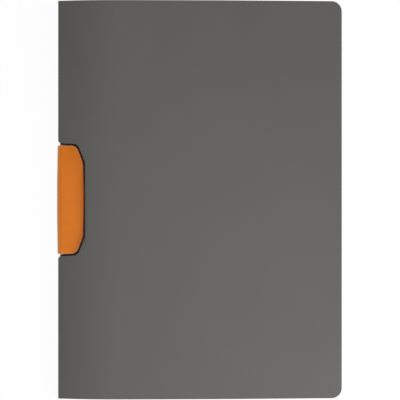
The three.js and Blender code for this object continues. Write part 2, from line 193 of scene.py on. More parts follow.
# Places worked out from the sizes
AXIS_X = BARREL - BARREL_PROUD
AXIS_Z = BARREL_LIFT + BARREL
ROOF = AXIS_Z + BARREL - BARREL_CROWN - CLIP_WALL
CAVITY = BARREL - BARREL_CROWN - CLIP_WALL
SPRING_TOP = ROOF - LAYER_GAP
RETAINER_TOP = SPRING_TOP - SPRING_THICKNESS - LAYER_GAP
RIM = RETAINER_TOP - RETAINER_THICKNESS
BASE_LOW = SHEET + SEAT_GAP
BASE_TOP = BASE_LOW + BASE_THICKNESS
BASE_LEFT = AXIS_X + BARREL + SWING_GAP
RETAINER_LEFT = BASE_LEFT + STOP_WIDTH + SWING_GAP
PAD_TOP = BASE_TOP + PAD_PROUD
GRIP_LOW = PAD_TOP + BITE_GAP
LIP_LOW = GRIP_LOW + GRIP_HEIGHT - GRIP_SOCKET
LIP_INNER = CLIP_REACH - TIP_BOW - LIP_WALL
STAKE_X = (RETAINER_LEFT + LIP_INNER) / 2
RIVET_X = (BASE_LEFT + STOP_WIDTH + LIP_INNER - PAD_INSIDE) / 2
LUG_START = CLIP_HALF + END_PLAY
LUG_END = LUG_START + LUG_THICKNESS
TIP_HALF = CLIP_HALF - SHOULDER_LENGTH
SLANT = math.atan2(CLIP_REACH - TIP_BOW - SHOULDER_REACH, SHOULDER_LENGTH)
CUT_OUT_HALF = CLIP_HALF + CUT_OUT_END_GAP
CUT_OUT_SPINE_HALF = CUT_OUT_HALF + CUT_OUT_FLARE


# Camera, straight above the closed folder
PHOTO_SIDE = 400
MM_PER_PIXEL = 0.7803
CAMERA_HEIGHT = 800.0
CAMERA_X = 0.5
CAMERA_Y = -0.25
CAMERA_TILT = math.radians(0.43)
SENSOR = 36.0


def make_camera():
    data = bpy.data.cameras.new("camera")
    camera = bpy.data.objects.new("camera", data)
    bpy.context.scene.collection.objects.link(camera)
    data.sensor_width = SENSOR
    data.lens = SENSOR * CAMERA_HEIGHT / (PHOTO_SIDE * MM_PER_PIXEL)
    aside = CAMERA_HEIGHT * math.tan(CAMERA_TILT)
    camera.location = ((CAMERA_X - aside) * MM, CAMERA_Y * MM, (SPINE_HEIGHT + CAMERA_HEIGHT) * MM)
    camera.rotation_euler = (0, -CAMERA_TILT, 0)
    bpy.context.scene.camera = camera


# Outlines


def spread(count, end):
    """Evenly spaced values from -end to end."""
    return [end * (2 * i / (count - 1) - 1) for i in range(count)]


def arc(cx, cy, radius, start, end, steps):
    turn = [start + (end - start) * i / steps for i in range(steps + 1)]
    return [(cx + radius * math.cos(a), cy + radius * math.sin(a)) for a in turn]


def rounded(corners, steps=ARC_STEPS):
    """A closed outline through corners (u, v) or (u, v, radius), with an arc where there is a radius."""
    points = []
    for i, (u, v, *rest) in enumerate(corners):
        if not rest or rest[0] <= 0:
            points.append((u, v))
            continue
        radius = rest[0]
        corner = Vector((u, v))
        back = (Vector(corners[i - 1][:2]) - corner).normalized()
        ahead = (Vector(corners[(i + 1) % len(corners)][:2]) - corner).normalized()
        half = back.angle(ahead) / 2
        centre = corner + (back + ahead).normalized() * (radius / math.sin(half))
        start = corner + back * (radius / math.tan(half)) - centre
        turn = math.pi - 2 * half
        if back.x * ahead.y - back.y * ahead.x > 0:
            turn = -turn
        first = math.atan2(start.y, start.x)
        points += arc(centre.x, centre.y, radius, first, first + turn, steps)
    return points


def clip_corners(grow, tip_radius, end_radius):
    """The front corners of the clip's outline: its slanted shoulders and the slight bow between them."""
    reach = CLIP_REACH + grow
    end = CLIP_HALF + grow
    tip = TIP_HALF + grow * math.tan(SLANT / 2)
    shoulder = reach - TIP_BOW - (end - tip) * math.tan(SLANT)
    bow_rise = TIP_BOW / (1 - BOW_SHARE / 2)
    bow_radius = tip * tip * BOW_SHARE / bow_rise
    return [
        (shoulder, -end, end_radius),
        (reach - TIP_BOW, -tip, tip_radius),
        (reach - TIP_BOW + bow_rise, 0, bow_radius),
        (reach - TIP_BOW, tip, tip_radius),
        (shoulder, end, end_radius),
    ]


def clip_outline(grow, left):
    end = CLIP_HALF + grow
    corners = clip_corners(grow, TIP_RADIUS + grow, END_RADIUS + grow)
    return rounded([(left, -end), *corners, (left, end)])


# Solids as temporary objects, joined and cut with boolean modifiers


def object_of(bm, name="solid"):
    """An object in the scene from a bmesh, which is freed."""
    bmesh.ops.recalc_face_normals(bm, faces=bm.faces)
    mesh = bpy.data.meshes.new(name)
    bm.to_mesh(mesh)
    bm.free()
    made = bpy.data.objects.new(name, mesh)
    bpy.context.scene.collection.objects.link(made)
    return made


def through(outlines, place):
    """A solid through (depth, points) outlines of equal counts. place turns (u, v, depth) into (x, y, z)."""
    bm = bmesh.new()
    rings = [[bm.verts.new(place(u, v, depth)) for u, v in points] for depth, points in outlines]
    count = len(rings[0])
    for a, b in zip(rings, rings[1:]):
        for i in range(count):
            j = (i + 1) % count
            bm.faces.new((a[i], a[j], b[j], b[i]))
    for ring, (_, points) in ((rings[0], outlines[0]), (rings[-1], outlines[-1])):
        flat = [Vector((u, v, 0)) for u, v in points]
        for triangle in tessellate_polygon([flat]):
            bm.faces.new([ring[k] for k in triangle])
    return object_of(bm)


def prism(points, low, high, place):
    """An outline pushed from low to high. place turns (u, v, depth) into (x, y, z)."""
    bm = bmesh.new()
    rings = [[bm.verts.new(place(u, v, depth)) for u, v in points] for depth in (low, high)]
    count = len(points)
    for i in range(count):
        j = (i + 1) % count
        bm.faces.new((rings[0][i], rings[0][j], rings[1][j], rings[1][i]))
    flat = [Vector((u, v, 0)) for u, v in points]
    for triangle in tessellate_polygon([flat]):
        for ring in rings:
            bm.faces.new([ring[k] for k in triangle])
    return object_of(bm)


def slab(points, low, high):
    return prism(points, low, high, lambda u, v, depth: (u, v, depth))


def bar(points, low, high):
    return prism(points, low, high, lambda u, v, depth: (u, depth, v))


def plank(points, low, high):
    return prism(points, low, high, lambda u, v, depth: (depth, u, v))


def box(x0, x1, y0, y1, z0, z1):
    return slab([(x0, y0), (x1, y0), (x1, y1), (x0, y1)], z0, z1)


def rod(radius, x, z, y0, y1):
    return bar(arc(x, z, radius, 0, 2 * math.pi, ROUND_STEPS)[:-1], y0, y1)


def loft(stations, ring_at):
    """A solid through rings of (x, z) points, one ring at each y."""
    return through([(y, ring_at(y)) for y in stations], lambda x, z, y: (x, y, z))


def stack(layers, outline_at):
    """A solid through outlines of (x, y) points, each drawn in by its inset. Layers are (z, inset)."""
    return through([(z, outline_at(-inset)) for z, inset in layers], lambda x, y, z: (x, y, z))


def turned(profile, x, y):
    """A solid turned about an upright axis from (radius, z) points, the first and the last on the axis."""
    bm = bmesh.new()
    bottom = bm.verts.new((x, y, profile[0][1]))
    top = bm.verts.new((x, y, profile[-1][1]))
    rings = []
    for radius, z in profile[1:-1]:
        circle = arc(x, y, radius, 0, 2 * math.pi, ROUND_STEPS)[:-1]
        rings.append([bm.verts.new((u, v, z)) for u, v in circle])
    for i in range(ROUND_STEPS):
        j = (i + 1) % ROUND_STEPS
        bm.faces.new((bottom, rings[0][j], rings[0][i]))
        bm.faces.new((top, rings[-1][i], rings[-1][j]))
        for a, b in zip(rings, rings[1:]):
            bm.faces.new((a[i], a[j], b[j], b[i]))
    return object_of(bm)


def apply_modifiers(made):
    graph = bpy.context.evaluated_depsgraph_get()
    mesh = bpy.data.meshes.new_from_object(made.evaluated_get(graph))
    made.modifiers.clear()
    made.data = mesh


def combine(whole, solids, operation):
    """Joins solids to a whole or cuts it with them. They are used up."""
    for solid in solids:
        modifier = whole.modifiers.new("combine", "BOOLEAN")
        modifier.operation = operation
        modifier.solver = "MANIFOLD"
        modifier.object = solid
        apply_modifiers(whole)
        bpy.data.objects.remove(solid)
    return whole


def join(whole, *solids):
    return combine(whole, solids, "UNION")


def cut(whole, *solids):
    return combine(whole, solids, "DIFFERENCE")


def keep(whole, *solids):
    return combine(whole, solids, "INTERSECT")


def finished(made, name, material, body, replaces, edge, segments=2):
    """Rounds a solid's sharp edges, scales it to metres in the frame and makes it a piece of the object."""
    made.name = name
    made.data.name = name
    bm = bmesh.new()
    bm.from_mesh(made.data)
    bmesh.ops.remove_doubles(bm, verts=bm.verts, dist=WELD)
    bmesh.ops.dissolve_limit(bm, angle_limit=FLAT_ANGLE, verts=bm.verts, edges=bm.edges)
    bm.to_mesh(made.data)
    bm.free()
    modifier = made.modifiers.new("edges", "BEVEL")
    modifier.width = edge
    modifier.segments = segments
    modifier.limit_method = "ANGLE"
    modifier.angle_limit = EDGE_ANGLE
    modifier.use_clamp_overlap = True
    modifier.miter_outer = "MITER_ARC"
    apply_modifiers(made)
    place(made)
    smooth(made)
    return dressed(made, material, body, replaces)


def place(made):
    """Moves a mesh from millimetres at the spine to metres in the frame."""
    for vertex in made.data.vertices:
        x, y, z = vertex.co
        vertex.co = (SPINE_X + x * MM, y * MM, z * MM)


def smooth(made):
    """Smooth shading, apart from sharp edges."""
    made.data.shade_smooth()
    made.data.set_sharp_from_angle(angle=SMOOTH_ANGLE)


def dressed(made, material, body, replaces):
    """Gives a piece its material, the body that it rides on and the nodes that it stands for."""
    made.data.materials.clear()
    made.data.materials.append(material)
    if body:
        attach(made, body)
    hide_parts(*replaces)
    return made


# Cover: flat patterns bent over their creases


def bow(x):
    """How far the front cover rises over the spine's height."""
    span = BOW_PEAK if x < BOW_PEAK else COVER_WIDTH - BOW_PEAK
    return BOW_RISE * (1 - ((x - BOW_PEAK) / span) ** 2)


def bow_slope(x):
    span = BOW_PEAK if x < BOW_PEAK else COVER_WIDTH - BOW_PEAK
    return -2 * BOW_RISE * (x - BOW_PEAK) / span**2


class FoldedSection:
    """A cover panel's outer line: up a short leg of the spine, round the fold and out along the panel."""

    def __init__(self, bowed):
        self.bowed = bowed
        self.tilt = math.atan(bow_slope(0)) if bowed else 0.0
        self.arc_end_x = FOLD_RADIUS * (1 - math.sin(self.tilt))
        rise = bow(self.arc_end_x) if bowed else 0.0
        self.centre_z = SPINE_HEIGHT + rise - FOLD_RADIUS * math.cos(self.tilt)
        self.arc_length = FOLD_RADIUS * (math.pi / 2 - self.tilt)
        self.leg_end = self.centre_z - FOLD_LEG

    def u_of(self, x):
        """The place along the line of a point of the panel."""
        return self.arc_length + x - self.arc_end_x

    def at(self, u):
        """Point (x, z) and outward normal, u along the line with 0 where the fold starts."""
        if u <= 0:
            return 0.0, self.centre_z + u, -1.0, 0.0
        if u < self.arc_length:
            angle = math.pi - u / FOLD_RADIUS
            cos, sin = math.cos(angle), math.sin(angle)
            return FOLD_RADIUS + FOLD_RADIUS * cos, self.centre_z + FOLD_RADIUS * sin, cos, sin
        x = self.arc_end_x + u - self.arc_length
        if not self.bowed:
            return x, SPINE_HEIGHT, 0.0, 1.0
        slope = bow_slope(x)
        length = math.hypot(1, slope)
        return x, SPINE_HEIGHT + bow(x), -slope / length, 1 / length


def sheet_pattern(section, cut_out):
    """A panel's flat outline, with its opening at the spine."""
    start = -FOLD_LEG
    chamfer_start = section.u_of(0)
    chamfer_end = section.u_of(CUT_OUT_CHAMFER)
    edge = section.u_of(COVER_WIDTH)
    inner = [(section.u_of(x), y, *rest) for x, y, *rest in cut_out]
    return rounded([
        (start, -HALF_LENGTH),
        (edge, -HALF_LENGTH, FORE_RADIUS),
        (edge, HALF_LENGTH, FORE_RADIUS),
        (start, HALF_LENGTH),
        (start, SPINE_END),
        (chamfer_start, SPINE_END),
        (chamfer_end, CUT_OUT_SPINE_HALF),
        *inner,
        (chamfer_end, -CUT_OUT_SPINE_HALF),
        (chamfer_start, -SPINE_END),
        (start, -SPINE_END),
    ], COVER_ARC_STEPS)


def flat_sheet(pattern, u_cuts, y_cuts, seams):
    """A flat sheet from a pattern in u and y, with its rim rounded except along the seams."""
    bm = bmesh.new()
    verts = [bm.verts.new((u, y, 0)) for u, y in pattern]
    flat = [Vector((u, y, 0)) for u, y in pattern]
    for triangle in tessellate_polygon([flat]):
        bm.faces.new([verts[k] for k in triangle])
    bmesh.ops.dissolve_limit(bm, angle_limit=FLAT_ANGLE, verts=bm.verts, edges=bm.edges)
    for axis, values in ((0, u_cuts), (1, y_cuts)):
        for value in values:
            point = Vector((0, 0, 0))
            point[axis] = value
            normal = Vector((0, 0, 0))
            normal[axis] = 1
            geometry = bm.verts[:] + bm.edges[:] + bm.faces[:]
            bmesh.ops.bisect_plane(bm, geom=geometry, dist=PLANE, plane_co=point, plane_no=normal)
    copied = bmesh.ops.duplicate(bm, geom=bm.verts[:] + bm.edges[:] + bm.faces[:])
    lower = [e for e in copied["geom"] if isinstance(e, bmesh.types.BMVert)]
    bmesh.ops.translate(bm, verts=lower, vec=(0, 0, -SHEET))
    rims = [e for e in bm.edges if len(e.link_faces) == 1]
    bmesh.ops.bridge_loops(bm, edges=rims)
    bmesh.ops.recalc_face_normals(bm, faces=bm.faces)
    bm.normal_update()
    rounded_edges = []
    for edge in bm.edges:
        if len(edge.link_faces) != 2 or edge.calc_face_angle(0) < RIM_ANGLE:
            continue
        middle = (edge.verts[0].co + edge.verts[1].co) / 2
        if abs(edge.verts[0].co.z - edge.verts[1].co.z) > SHEET / 2:
            continue
        if any(abs(middle.x - seam) < SEAM_WIDTH for seam in seams):
            continue
        rounded_edges.append(edge)
    bmesh.ops.bevel(bm, geom=rounded_edges, offset=RIM_BEVEL, segments=2, profile=0.5, affect="EDGES")
    return bm


def steps(start, end, size):
    """Values between start and end, about size apart."""
    count = max(1, round((end - start) / size))
    return [start + (end - start) * i / count for i in range(1, count)]


def cover_sheet(name, section, cut_out, flip, material, node, holes=()):
    """A panel with its crease. flip turns it upside down for the back cover."""
    edge = section.u_of(COVER_WIDTH)
    fold = [0.0, *steps(0, section.arc_length, FOLD_STEP), section.arc_length]
    beside = [*steps(section.arc_length, NEAR_FOLD, NEAR_FOLD_STEP), NEAR_FOLD]
    u_cuts = fold + beside + steps(NEAR_FOLD, edge, PANEL_STEP)
    y_cuts = steps(-HALF_LENGTH, HALF_LENGTH, LENGTH_STEP)
    bm = flat_sheet(sheet_pattern(section, cut_out), u_cuts, y_cuts, [-FOLD_LEG])

    def bend(u, y, depth):
        x, z, nx, nz = section.at(u)
        x += nx * depth
        z += nz * depth
        return (x, y, SPINE_HEIGHT - z) if flip else (x, y, z)

    for vert in bm.verts:
        vert.co = bend(*vert.co)
    made = object_of(bm, name)
    if holes:
        made = cut(made, *holes)
    place(made)
    smooth(made)
    dressed(made, material, None, [node])
    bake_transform(made)
    return made


def spine_strip(name, y0, y1, low, high, material, node):
    """One of the spine's strips, between the two creases' legs."""
    pattern = [(low, y0), (high, y0), (high, y1), (low, y1)]
    bm = flat_sheet(pattern, steps(low, high, SPINE_STEP), steps(y0, y1, LENGTH_STEP), [low, high])
    for vert in bm.verts:
        u, y, depth = vert.co
        vert.co = (-depth, y, u)
    made = object_of(bm, name)
    place(made)
    smooth(made)
    return dressed(made, material, "spine", [node])


def front_cut_out():
    """Corners that follow the clip's shoulders, with a straight front edge."""
    reach = CLIP_REACH + CUT_OUT_FRONT_GAP
    slope = math.tan(SLANT)
    line = CLIP_REACH - TIP_BOW + CUT_OUT_SHOULDER_GAP
    tip = TIP_HALF - (reach - line) / slope
    end = line - (CUT_OUT_HALF - TIP_HALF) * slope
    return [
        (end, CUT_OUT_HALF, CUT_OUT_END_RADIUS),
        (reach, tip, CUT_OUT_TIP_RADIUS),
        (reach, -tip, CUT_OUT_TIP_RADIUS),
        (end, -CUT_OUT_HALF, CUT_OUT_END_RADIUS),
    ]


def notch_depth():
    """How far the back cover's notch reaches in, clear of the barrel."""
    height = AXIS_Z - SHEET
    return AXIS_X + math.sqrt((BARREL + SWING_GAP) ** 2 - height**2)


def rivet_places():
    return spread(RIVET_COUNT, CLIP_HALF - RIVET_END)


def rivet_solid(y, grow):
    """A rivet, or with a gap to grow by, what is cut for it."""
    past = PAST if grow > 0 else 0
    low, high = -past, BASE_TOP + past
    return turned([
        (0, low),
        (RIVET_HEAD + grow, low),
        (RIVET_HEAD + grow, RIVET_HEAD_HEIGHT + grow),
        (RIVET_SHANK + grow, RIVET_HEAD_HEIGHT + grow),
        (RIVET_SHANK + grow, BASE_TOP - RIVET_ROLL_HEIGHT - grow),
        (RIVET_ROLL + grow, BASE_TOP - RIVET_ROLL_HEIGHT - grow),
        (RIVET_ROLL + grow, high),
        (0, high),
    ], RIVET_X, y)


def make_cover(material):
    front = FoldedSection(bowed=True)
    back = FoldedSection(bowed=False)
    depth = notch_depth()
    cut_out = front_cut_out()
    notch = [(depth, CUT_OUT_HALF, NOTCH_RADIUS), (depth, -CUT_OUT_HALF, NOTCH_RADIUS)]
    cover_sheet("front_cover_sheet", front, cut_out, False, material, "front_cover")
    holes = [rivet_solid(y, FIT_GAP) for y in rivet_places()]
    cover_sheet("back_cover_sheet", back, notch, True, material, "back_cover", holes)
    low = SPINE_HEIGHT - back.leg_end
    high = front.leg_end
    spine_strip("spine_head_strip", SPINE_END, HALF_LENGTH, low, high, material, "spine_head")
    spine_strip("spine_foot_strip", -HALF_LENGTH, -SPINE_END, low, high, material, "spine_foot")


# Clip jaw


def barrel_radius(y):
    """The crowned barrel's radius, rounded off at its ends."""
    share = y / CLIP_HALF
    inset = max(0.0, abs(y) - (CLIP_HALF - END_ROUNDING))
    rounding = END_ROUNDING - math.sqrt(max(0.0, END_ROUNDING**2 - inset**2))
    return BARREL - BARREL_CROWN * share**2 - rounding


def jaw_ring(y):
    """The jaw's outer section: from the barrel's mouth round the spine side to its top, then forwards."""
    radius = barrel_radius(y)
    right = CLIP_REACH + PAST
    return [
        *arc(AXIS_X, AXIS_Z, radius, MOUTH_ANGLE, BARREL_TOP_ANGLE, BARREL_STEPS),
        (right, AXIS_Z + radius),
        (right, RIM),
        (AXIS_X + radius * math.cos(MOUTH_ANGLE), RIM),
    ]


def edge_rounded_slab(left, top):
    """The clip's outline, with its upper edge rounded."""
    layers = [(-PAST, 0.0)]
    for i in range(EDGE_STEPS + 1):
        angle = math.pi / 2 * i / EDGE_STEPS
        layers.append((top - CLIP_EDGE + CLIP_EDGE * math.sin(angle), CLIP_EDGE * (1 - math.cos(angle))))
    return stack(layers, lambda grow: clip_outline(grow, left))


def jaw_block():
    inner = CLIP_HALF - END_ROUNDING
    ends = [inner + END_ROUNDING * share for share in END_SHARES]
    stations = [-e for e in reversed(ends)] + spread(CROWN_STEPS + 1, inner) + ends
    stations[0], stations[-1] = -CLIP_HALF, CLIP_HALF
    return keep(loft(stations, jaw_ring), edge_rounded_slab(-FAR, CLIP_TOP))


def jaw_cavity():
    reach = BARREL + PAST
    shape = [
        *arc(AXIS_X, AXIS_Z, CAVITY, math.pi / 2, 2 * math.pi + MOUTH_ANGLE, BARREL_STEPS),
        (AXIS_X + reach * math.cos(MOUTH_ANGLE), AXIS_Z + reach * math.sin(MOUTH_ANGLE)),
        (FAR, AXIS_Z - reach),
        (FAR, ROOF),
    ]
    inner = CLIP_HALF - END_WALL
    return keep(bar(shape, -inner, inner), slab(clip_outline(-SHOULDER_WALL, -FAR), -FAR, FAR))


def front_band(outer, inner, half, low, high):
    """A band along the clip's front edge, between two outlines grown by outer and inner."""
    whole = slab(clip_outline(outer, AXIS_X), low, high)
    band = cut(whole, slab(clip_outline(inner, 0), low - PAST, high + PAST))
    return keep(band, box(0, FAR, -half, half, low - PAST, high + PAST))


def jaw_lip():
    """The jaw's front wall, cut from a longer blank by a ramp at each end."""
    ramp = plank([
        (-LIP_HALF, LIP_LOW),
        (LIP_HALF, LIP_LOW),
        (LIP_HALF + LIP_RAMP, ROOF),
        (-LIP_HALF - LIP_RAMP, ROOF),
    ], 0, FAR)
    return keep(front_band(0, -LIP_WALL, CLIP_HALF - LIP_BLANK_END, LIP_LOW, ROOF), ramp)


def grip_band(grow, low, high):
    half = GRIP_WIDTH / 2 + grow
    return front_band(-LIP_WALL / 2 + half, -LIP_WALL / 2 - half, LIP_HALF - GRIP_END + grow, low, high)


def web(y, thickness):
    """A wall across the barrel, which carries the bore."""
    outer = CAVITY + CLIP_WALL / 2
    shape = [
        *arc(AXIS_X, AXIS_Z, outer, math.pi / 2, 2 * math.pi, BARREL_STEPS),
        (AXIS_X + outer, ROOF - WEB_DROP),
        (AXIS_X + WEB_REACH, ROOF),
        (AXIS_X + WEB_REACH, ROOF + CLIP_WALL / 2),
    ]
    return bar(shape, y - thickness / 2, y + thickness / 2)


def webs():
    beside = SPRING_WIDTH / 2 + SWING_GAP + WEB_THICKNESS / 2
    inner = [side * SPRING_OFFSET + end * beside for side in (-1, 1) for end in (-1, 1)]
    outer = [side * (CLIP_HALF - END_ROUNDING - END_WALL / 2) for side in (-1, 1)]
    return [web(y, WEB_THICKNESS) for y in inner] + [web(y, END_WALL) for y in outer]


def stake_places():
    end = CLIP_HALF - STAKE_END
    return [-end, -SPRING_OFFSET, 0, SPRING_OFFSET, end]


def stake(y):
    top = ROOF + CLIP_WALL / 2
    return turned([
        (0, RIM),
        (STAKE_HEAD, RIM),
        (STAKE, RIM + STAKE_HEAD_HEIGHT),
        (STAKE, top),
        (0, top),
    ], STAKE_X, y)


def stake_hole(y):
    return turned([
        (0, RIM - PAST),
        (STAKE_HEAD + STAKE_GAP, RIM - PAST),
        (STAKE_HEAD + STAKE_GAP, RIM + STAKE_GAP),
        (STAKE + STAKE_GAP, RIM + STAKE_HEAD_HEIGHT + STAKE_GAP),
        (STAKE + STAKE_GAP, ROOF),
        (0, ROOF),
    ], STAKE_X, y)


def make_jaw(material):
    jaw = cut(jaw_block(), jaw_cavity())
    jaw = join(jaw, jaw_lip(), *webs(), *[stake(y) for y in stake_places()])
    bore = rod(BAR + RUNNING_GAP, AXIS_X, AXIS_Z, -FAR, FAR)
    socket = grip_band(STAKE_GAP, LIP_LOW - PAST, GRIP_LOW + GRIP_HEIGHT + SEAT_GAP)
    jaw = cut(jaw, bore, socket)
    return finished(jaw, "clip_shell", material, "clip", ["clip_jaw"], edge=0.12)


def make_springs(material):
    top = [
        (AXIS_X - SPRING_TAIL, SPRING_TOP - SPRING_DIP),
        (AXIS_X + SPRING_BEND[0], SPRING_TOP - SPRING_DIP),
        (AXIS_X + SPRING_BEND[1], SPRING_TOP),
        (LIP_INNER - SPRING_FRONT_GAP, SPRING_TOP),
    ]
    under = [(x, z - SPRING_THICKNESS) for x, z in reversed(top)]
    for name, middle in (("leaf_spring_head", SPRING_OFFSET), ("leaf_spring_foot", -SPRING_OFFSET)):
        strip = bar(top + under, middle - SPRING_WIDTH / 2, middle + SPRING_WIDTH / 2)
        strip = cut(strip, stake_hole(middle))
        finished(strip, name + "_blade", material, "clip", [name], edge=0.05)


def make_retainer(material):
    gap = LIP_WALL + STAKE_GAP
    inner = CLIP_HALF - END_WALL - STAKE_GAP
    plate = slab(clip_outline(-gap, RETAINER_LEFT), RIM, RETAINER_TOP)
    plate = keep(plate, box(0, FAR, -inner, inner, RIM - PAST, RETAINER_TOP + PAST))
    plate = cut(plate, *[stake_hole(y) for y in stake_places()])
    name = "spring_retainer"
    finished(plate, name + "_plate", material, "clip", [name], edge=0.08)


def make_grip(material):
    strip = grip_band(0, GRIP_LOW, GRIP_LOW + GRIP_HEIGHT)
    name = "grip_strip"
    finished(strip, name + "_rubber", material, "clip", [name], edge=0.15, segments=3)


# Base plate and what it carries


def lug(y0, y1):
    """One of the base plate's ears, with the square hole for the bar's end."""
    shape = [
        (BASE_LEFT + LUG_FOOT, BASE_LOW),
        (BASE_LEFT - SWING_GAP, BASE_LOW),
        *arc(AXIS_X, AXIS_Z, LUG, *LUG_ARC, LUG_STEPS),
        (BASE_LEFT + LUG_FOOT, BASE_TOP),
    ]
    hole = TENON + TENON_GAP
    opening = box(AXIS_X - hole, AXIS_X + hole, y0 - PAST, y1 + PAST, AXIS_Z - hole, AXIS_Z + hole)
    return cut(bar(shape, y0, y1), opening)


def stop_tooth(y, half):
    """A tooth that the sheets are pushed against."""
    top = BASE_TOP + STOP_HEIGHT
    slope = STOP_WIDTH / 2
    return plank([
        (y - half, BASE_LOW),
        (y + half, BASE_LOW),
        (y + half, top - slope),
        (y + half - slope, top),
        (y - half + slope, top),
        (y - half, top - slope),
    ], BASE_LEFT, BASE_LEFT + STOP_WIDTH)


def pad_band(grow, low, high):
    return front_band(PAD_OUTSIDE + grow, -LIP_WALL - PAD_INSIDE - grow, LIP_HALF + grow, low, high)


def make_base(black, rubber):
    layers = [(BASE_LOW, 0.0), (BASE_TOP - BASE_BEVEL, 0.0), (BASE_TOP, BASE_BEVEL)]
    plate = stack(layers, lambda grow: clip_outline(BASE_MARGIN + grow, BASE_LEFT - grow))
    pitch = (2 * (CLIP_HALF - STOP_END) + STOP_GAP) / STOP_COUNT
    half = (pitch - STOP_GAP) / 2
    teeth = [stop_tooth(y, half) for y in spread(STOP_COUNT, pitch * (STOP_COUNT - 1) / 2)]
    plate = join(plate, *teeth, lug(LUG_START, LUG_END), lug(-LUG_END, -LUG_START))
    low = PAD_TOP - PAD_THICKNESS
    holes = [rivet_solid(y, FIT_GAP) for y in rivet_places()]
    plate = cut(plate, *holes, pad_band(FIT_GAP, low - SEAT_GAP, BASE_TOP + PAST))
    finished(plate, "base_plate_moulding", black, "back", ["base_plate"], edge=0.1)
    pad = pad_band(0, low, PAD_TOP)
    finished(pad, "base_pad_rubber", rubber, "back", ["base_pad"], edge=0.08)


def make_bar(material):
    half = LUG_START - FIT_GAP
    ends = CLIP_HALF - END_WALL
    far = BAR + PAST
    shaft = rod(BAR, AXIS_X, AXIS_Z, -half, half)
    above = box(AXIS_X - far, AXIS_X + far, -ends, ends, AXIS_Z + BAR_FLAT, AXIS_Z + far)
    below = box(AXIS_X - far, AXIS_X + far, -ends, ends, AXIS_Z - far, AXIS_Z - BAR_FLAT)
    shaft = cut(shaft, above, below)
    tenon = box(AXIS_X - TENON, AXIS_X + TENON, -LUG_END, LUG_END, AXIS_Z - TENON, AXIS_Z + TENON)
    shaft = join(shaft, tenon)
    finished(shaft, "hinge_bar_shaft", material, "back", ["hinge_bar"], edge=0.08)


def make_rivets(material):
    for i, y in enumerate(rivet_places()):
        name = f"rivet_{i + 1}"
        finished(rivet_solid(y, 0), name + "_shank", material, "back", [name], edge=0.08)


# Materials

# Most values of a noise lie in this span
NOISE_SPAN = (0.3, 0.7)
# How alike the true and the softened normal are where the pale edge starts and where it is full: wear, and on
# the cover and the clip a painted highlight too
WEAR_AND_HIGHLIGHT_SPAN = (0.998, 0.93)
WEAR_AND_HIGHLIGHT_SPOTS = (0.3, 0.65)
LEAST_WEAR_AND_HIGHLIGHT = 0.35
COVER_TONES = ((0.0833, 0.0819, 0.0792), (0.0936, 0.0921, 0.0892))
# Paler edge colour: wear, and a painted highlight where the cover's edges catch light
COVER_EDGE_WEAR_AND_HIGHLIGHT = (0.155, 0.153, 0.148)
COVER_CLOUD_SPAN = (0.35, 0.65)
CLIP_TONES = ((0.582, 0.144, 0.003), (0.617, 0.158, 0.005))
# Painted reflection: paler colour on the barrel's spine-facing side
CLIP_BARREL_PAINTED_REFLECTION = (0.71, 0.28, 0.088)
# Painted shade: deeper, darker orange on the front-facing edge
CLIP_FRONT_PAINTED_SHADE = (0.36, 0.055, 0.003)
# Paler edge colour: wear, and a painted highlight on the clip's rounded ends
CLIP_EDGE_WEAR_AND_HIGHLIGHT = (0.61, 0.30, 0.12)
BLACK_TONES = ((0.014, 0.010, 0.008), (0.022, 0.017, 0.013))
BLACK_RUBBED = (0.04, 0.038, 0.036)
STEEL_TONES = ((0.50, 0.50, 0.51), (0.68, 0.68, 0.69))
STEEL_STRETCH = (9, 0.25, 9)
RUBBER_TONES = ((0.018, 0.018, 0.018), (0.030, 0.029, 0.028))


def new_material(name):
    material = bpy.data.materials.new(name)
    material.use_nodes = True
    tree = material.node_tree
    shader = tree.nodes["Principled BSDF"]
    return material, tree, shader


def node(tree, kind, **values):
    """A new node, with values for its sockets by name, or else for its settings."""
    made = tree.nodes.new(kind)
    for key, value in values.items():
        if key in made.inputs:
            made.inputs[key].default_value = value
        else:
            setattr(made, key, value)
    return made


def coordinates(tree, stretch=(1, 1, 1)):
    """Object coordinates in millimetres."""
    source = node(tree, "ShaderNodeTexCoord")
    scale = node(tree, "ShaderNodeMapping")
    scale.inputs["Scale"].default_value = [s / MM for s in stretch]
    tree.links.new(source.outputs["Object"], scale.inputs["Vector"])
    return scale.outputs["Vector"]


def noise(tree, vector, scale, detail=2.0, roughness=0.5):
    made = node(tree, "ShaderNodeTexNoise")
    made.inputs["Scale"].default_value = scale
    made.inputs["Detail"].default_value = detail
    made.inputs["Roughness"].default_value = roughness
    tree.links.new(vector, made.inputs["Vector"])
    return made.outputs["Fac"]


def ramp(tree, source, low, high, to_low, to_high):
    """Turns the span from low to high into the span from to_low to to_high, and stays inside it."""
    made = node(tree, "ShaderNodeMapRange")
    made.inputs["From Min"].default_value = low
    made.inputs["From Max"].default_value = high
    made.inputs["To Min"].default_value = to_low
    made.inputs["To Max"].default_value = to_high
    tree.links.new(source, made.inputs["Value"])
    return made.outputs["Result"]


def across(tree, source, to_low, to_high):
    """A noise's usual span, turned into the span from to_low to to_high."""
    return ramp(tree, source, *NOISE_SPAN, to_low, to_high)


def add(tree, a, b, weight):
    """a and b times a weight."""
    made = node(tree, "ShaderNodeMath", operation="MULTIPLY_ADD")
    tree.links.new(b, made.inputs[0])
    made.inputs[1].default_value = weight
    tree.links.new(a, made.inputs[2])
    return made.outputs[0]


def times(tree, a, b):
    made = node(tree, "ShaderNodeMath", operation="MULTIPLY")
    tree.links.new(a, made.inputs[0])
    tree.links.new(b, made.inputs[1])
    return made.outputs[0]


